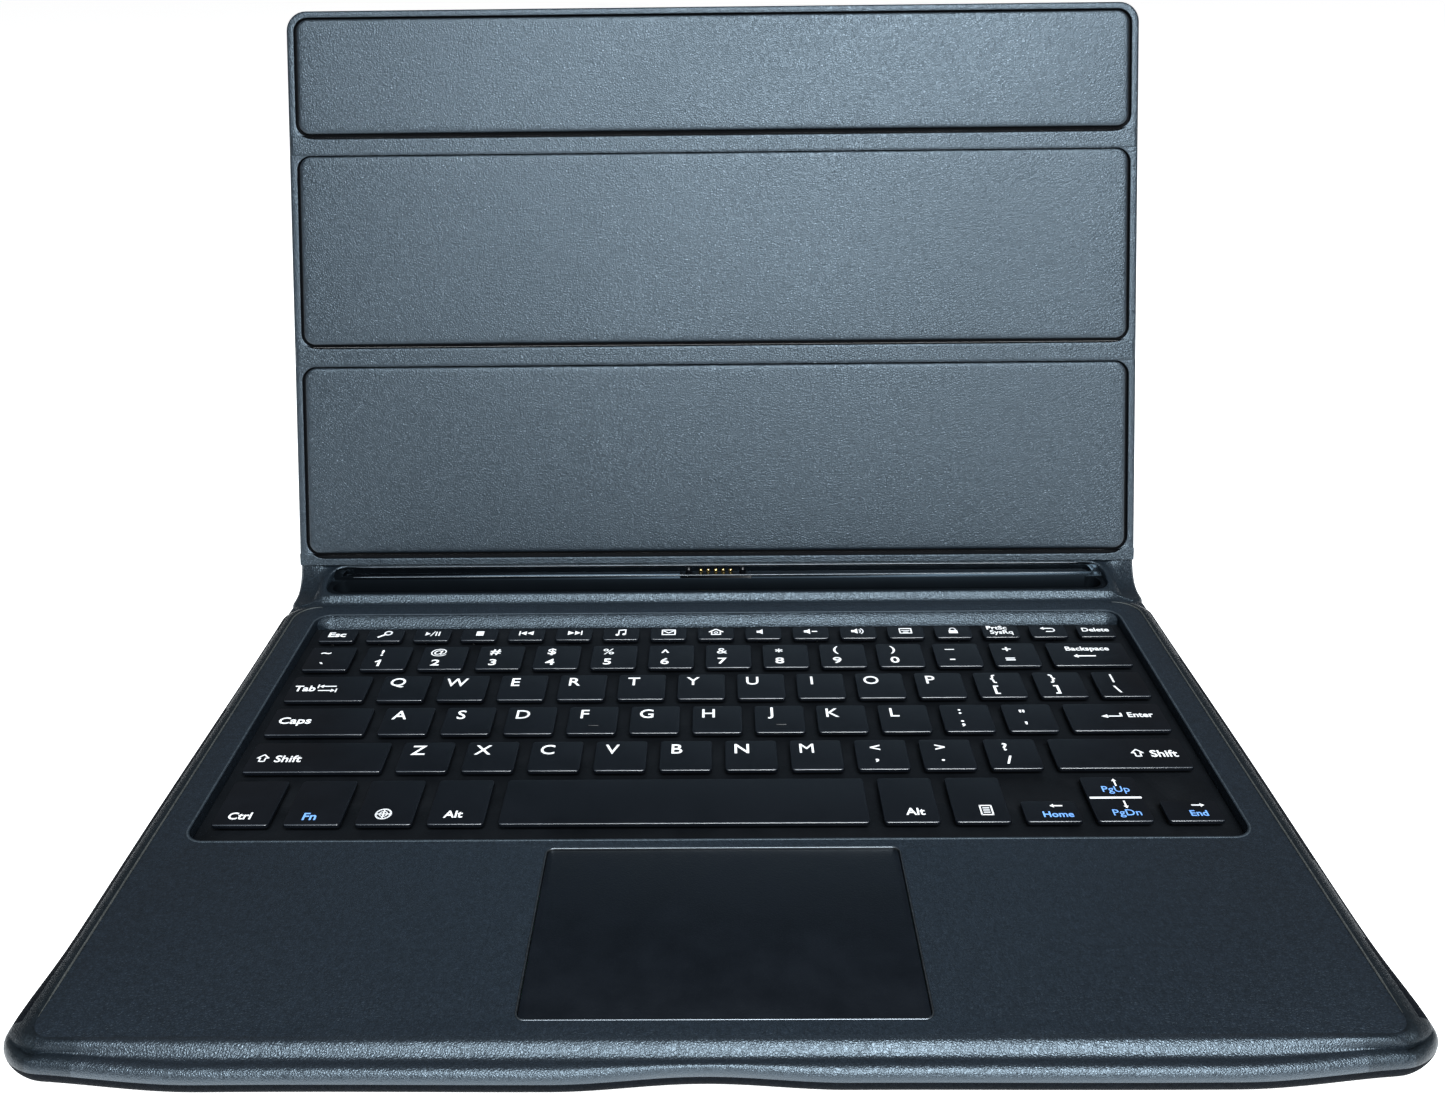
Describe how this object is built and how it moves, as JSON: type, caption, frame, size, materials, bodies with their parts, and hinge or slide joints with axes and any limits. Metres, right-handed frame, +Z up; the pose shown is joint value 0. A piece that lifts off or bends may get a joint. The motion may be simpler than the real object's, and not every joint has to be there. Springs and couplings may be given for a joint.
{
  "type": "tablet keyboard case",
  "caption": "Dark grey leather folio case for a tablet, standing open: a thin keyboard base with a touchpad, a dock slot with contact pins, and a padded cover that folds.",
  "frame": {"origin": "on the table, midway between the base's sides and 90.25 mm in front of its rear edge", "axes": "+X to the right along the case's width, +Y to the back towards the cover, +Z up"},
  "size_m": [0.2706, 0.2479, 0.1829],
  "materials": {
    "outer_leather": "matt pebbled grain",
    "inner_leather": "satin pebbled grain",
    "recess_black": "fine matt texture",
    "key_black": "satin",
    "legend_white": "printed, matt",
    "legend_blue": "printed, matt",
    "touchpad_black": "fine satin texture",
    "dock_gloss": "gloss",
    "gold_plate": "polished",
    "steel": "satin",
    "circuit_board": "satin",
    "film": "satin, slightly clear",
    "silicone": "matt"
  },
  "bodies": {
    "base": {"bottom_cover": "outer_leather", "base_tray": "steel", "palm_deck": "inner_leather", "key_plate": "recess_black", "rubber_domes": "silicone", "membrane_sheet": "film", "controller_board": "circuit_board", "ribbon_cable": "film", "touchpad_bezel": "steel", "click_switch": "steel", "spine_fold": "outer_leather"},
    "touchpad": {"touchpad_plate": "touchpad_black"},
    "dock": {"dock_channel": "dock_gloss", "dock_surround": "inner_leather", "contact_block": "dock_gloss", "locating_posts": "dock_gloss", "dock_magnets": "steel", "pogo_springs": "steel", "cover_fold_strip": "inner_leather"},
    "pins": {"pogo_pins": "gold_plate"},
    "lower_panel": {"lower_board": "outer_leather", "lower_lining": "inner_leather", "middle_fold_strip": "inner_leather"},
    "middle_panel": {"middle_board": "outer_leather", "middle_lining": "inner_leather", "top_fold_strip": "inner_leather"},
    "top_panel": {"top_board": "outer_leather", "top_lining": "inner_leather"},
    "cap_q": {"key_q": "key_black"},
    "cap_w": {"key_w": "key_black"},
    "cap_e": {"key_e": "key_black"},
    "cap_r": {"key_r": "key_black"},
    "cap_t": {"key_t": "key_black"},
    "cap_y": {"key_y": "key_black"},
    "cap_u": {"key_u": "key_black"},
    "cap_i": {"key_i": "key_black"},
    "cap_o": {"key_o": "key_black"},
    "cap_p": {"key_p": "key_black"},
    "cap_a": {"key_a": "key_black"},
    "cap_s": {"key_s": "key_black"},
    "cap_d": {"key_d": "key_black"},
    "cap_f": {"key_f": "key_black"},
    "cap_g": {"key_g": "key_black"},
    "cap_h": {"key_h": "key_black"},
    "cap_j": {"key_j": "key_black"},
    "cap_k": {"key_k": "key_black"},
    "cap_l": {"key_l": "key_black"},
    "cap_z": {"key_z": "key_black"},
    "cap_x": {"key_x": "key_black"},
    "cap_c": {"key_c": "key_black"},
    "cap_v": {"key_v": "key_black"},
    "cap_b": {"key_b": "key_black"},
    "cap_n": {"key_n": "key_black"},
    "cap_m": {"key_m": "key_black"},
    "cap_space": {"key_space": "key_black"},
    "cap_enter": {"key_enter": "key_black"},
    "cap_up_down": {"key_up_down": "key_black"},
    "function_caps": {"function_keys": "key_black"},
    "number_and_symbol_caps": {"number_and_symbol_keys": "key_black"},
    "modifier_caps": {"modifier_keys": "key_black"}
  },
  "joints": [
    {"name": "dock_fold", "type": "hinge", "parent": "base", "child": "dock", "pos_m": [0, 0.09075, 0.006], "axis": [1, 0, 0], "range_deg": [0, 90], "deforming": ["spine_fold", "ribbon_cable"]},
    {"name": "cover_fold", "type": "hinge", "parent": "dock", "child": "lower_panel", "pos_m": [0, 0.1076, 0.01428], "axis": [1, 0, 0], "range_deg": [-73, 16.9], "deforming": ["cover_fold_strip"]},
    {"name": "cover_middle_fold", "type": "hinge", "parent": "lower_panel", "child": "middle_panel", "pos_m": [0, 0.12706, 0.07797], "axis": [-1, 0, 0], "range_deg": [-110, 0], "deforming": ["middle_fold_strip"]},
    {"name": "cover_top_fold", "type": "hinge", "parent": "middle_panel", "child": "top_panel", "pos_m": [0, 0.14653, 0.14208], "axis": [1, 0, 0], "range_deg": [-52.5, 0], "deforming": ["top_fold_strip"]},
    {"name": "touchpad_press", "type": "hinge", "parent": "base", "child": "touchpad", "pos_m": [0.0015, -0.02665, 0.0066], "axis": [1, 0, 0], "range_deg": [0, 0.8], "stiffness_Nm_per_rad": 1.6, "springref_deg": -0.57},
    {"name": "pogo_press", "type": "slide", "parent": "dock", "child": "pins", "axis": [0, 0, -1], "range_m": [0, 0.0008], "stiffness_N_per_m": 1500, "springref_m": -0.0003, "deforming": ["pogo_springs"]},
    {"name": "key_press_q", "type": "slide", "parent": "base", "child": "cap_q", "axis": [0, 0, -1], "range_m": [0, 0.001], "stiffness_N_per_m": 400, "springref_m": -0.0003},
    {"name": "key_press_w", "type": "slide", "parent": "base", "child": "cap_w", "axis": [0, 0, -1], "range_m": [0, 0.001], "stiffness_N_per_m": 400, "springref_m": -0.0003},
    {"name": "key_press_e", "type": "slide", "parent": "base", "child": "cap_e", "axis": [0, 0, -1], "range_m": [0, 0.001], "stiffness_N_per_m": 400, "springref_m": -0.0003},
    {"name": "key_press_r", "type": "slide", "parent": "base", "child": "cap_r", "axis": [0, 0, -1], "range_m": [0, 0.001], "stiffness_N_per_m": 400, "springref_m": -0.0003},
    {"name": "key_press_t", "type": "slide", "parent": "base", "child": "cap_t", "axis": [0, 0, -1], "range_m": [0, 0.001], "stiffness_N_per_m": 400, "springref_m": -0.0003},
    {"name": "key_press_y", "type": "slide", "parent": "base", "child": "cap_y", "axis": [0, 0, -1], "range_m": [0, 0.001], "stiffness_N_per_m": 400, "springref_m": -0.0003},
    {"name": "key_press_u", "type": "slide", "parent": "base", "child": "cap_u", "axis": [0, 0, -1], "range_m": [0, 0.001], "stiffness_N_per_m": 400, "springref_m": -0.0003},
    {"name": "key_press_i", "type": "slide", "parent": "base", "child": "cap_i", "axis": [0, 0, -1], "range_m": [0, 0.001], "stiffness_N_per_m": 400, "springref_m": -0.0003},
    {"name": "key_press_o", "type": "slide", "parent": "base", "child": "cap_o", "axis": [0, 0, -1], "range_m": [0, 0.001], "stiffness_N_per_m": 400, "springref_m": -0.0003},
    {"name": "key_press_p", "type": "slide", "parent": "base", "child": "cap_p", "axis": [0, 0, -1], "range_m": [0, 0.001], "stiffness_N_per_m": 400, "springref_m": -0.0003},
    {"name": "key_press_a", "type": "slide", "parent": "base", "child": "cap_a", "axis": [0, 0, -1], "range_m": [0, 0.001], "stiffness_N_per_m": 400, "springref_m": -0.0003, "deforming": ["rubber_domes"]},
    {"name": "key_press_s", "type": "slide", "parent": "base", "child": "cap_s", "axis": [0, 0, -1], "range_m": [0, 0.001], "stiffness_N_per_m": 400, "springref_m": -0.0003},
    {"name": "key_press_d", "type": "slide", "parent": "base", "child": "cap_d", "axis": [0, 0, -1], "range_m": [0, 0.001], "stiffness_N_per_m": 400, "springref_m": -0.0003},
    {"name": "key_press_f", "type": "slide", "parent": "base", "child": "cap_f", "axis": [0, 0, -1], "range_m": [0, 0.001], "stiffness_N_per_m": 400, "springref_m": -0.0003},
    {"name": "key_press_g", "type": "slide", "parent": "base", "child": "cap_g", "axis": [0, 0, -1], "range_m": [0, 0.001], "stiffness_N_per_m": 400, "springref_m": -0.0003},
    {"name": "key_press_h", "type": "slide", "parent": "base", "child": "cap_h", "axis": [0, 0, -1], "range_m": [0, 0.001], "stiffness_N_per_m": 400, "springref_m": -0.0003},
    {"name": "key_press_j", "type": "slide", "parent": "base", "child": "cap_j", "axis": [0, 0, -1], "range_m": [0, 0.001], "stiffness_N_per_m": 400, "springref_m": -0.0003},
    {"name": "key_press_k", "type": "slide", "parent": "base", "child": "cap_k", "axis": [0, 0, -1], "range_m": [0, 0.001], "stiffness_N_per_m": 400, "springref_m": -0.0003},
    {"name": "key_press_l", "type": "slide", "parent": "base", "child": "cap_l", "axis": [0, 0, -1], "range_m": [0, 0.001], "stiffness_N_per_m": 400, "springref_m": -0.0003},
    {"name": "key_press_z", "type": "slide", "parent": "base", "child": "cap_z", "axis": [0, 0, -1], "range_m": [0, 0.001], "stiffness_N_per_m": 400, "springref_m": -0.0003},
    {"name": "key_press_x", "type": "slide", "parent": "base", "child": "cap_x", "axis": [0, 0, -1], "range_m": [0, 0.001], "stiffness_N_per_m": 400, "springref_m": -0.0003},
    {"name": "key_press_c", "type": "slide", "parent": "base", "child": "cap_c", "axis": [0, 0, -1], "range_m": [0, 0.001], "stiffness_N_per_m": 400, "springref_m": -0.0003},
    {"name": "key_press_v", "type": "slide", "parent": "base", "child": "cap_v", "axis": [0, 0, -1], "range_m": [0, 0.001], "stiffness_N_per_m": 400, "springref_m": -0.0003},
    {"name": "key_press_b", "type": "slide", "parent": "base", "child": "cap_b", "axis": [0, 0, -1], "range_m": [0, 0.001], "stiffness_N_per_m": 400, "springref_m": -0.0003},
    {"name": "key_press_n", "type": "slide", "parent": "base", "child": "cap_n", "axis": [0, 0, -1], "range_m": [0, 0.001], "stiffness_N_per_m": 400, "springref_m": -0.0003},
    {"name": "key_press_m", "type": "slide", "parent": "base", "child": "cap_m", "axis": [0, 0, -1], "range_m": [0, 0.001], "stiffness_N_per_m": 400, "springref_m": -0.0003},
    {"name": "key_press_space", "type": "slide", "parent": "base", "child": "cap_space", "axis": [0, 0, -1], "range_m": [0, 0.001], "stiffness_N_per_m": 400, "springref_m": -0.0003},
    {"name": "key_press_enter", "type": "slide", "parent": "base", "child": "cap_enter", "axis": [0, 0, -1], "range_m": [0, 0.001], "stiffness_N_per_m": 400, "springref_m": -0.0003},
    {"name": "key_press_up_down", "type": "slide", "parent": "base", "child": "cap_up_down", "axis": [0, 0, -1], "range_m": [0, 0.001], "stiffness_N_per_m": 400, "springref_m": -0.0003},
    {"name": "keys_press_function", "type": "slide", "parent": "base", "child": "function_caps", "axis": [0, 0, -1], "range_m": [0, 0.001], "stiffness_N_per_m": 6800, "springref_m": -0.0003},
    {"name": "keys_press_modifier", "type": "slide", "parent": "base", "child": "modifier_caps", "axis": [0, 0, -1], "range_m": [0, 0.001], "stiffness_N_per_m": 4800, "springref_m": -0.0003},
    {"name": "keys_press_number_and_symbol", "type": "slide", "parent": "base", "child": "number_and_symbol_caps", "axis": [0, 0, -1], "range_m": [0, 0.001], "stiffness_N_per_m": 8800, "springref_m": -0.0003}
  ]
}
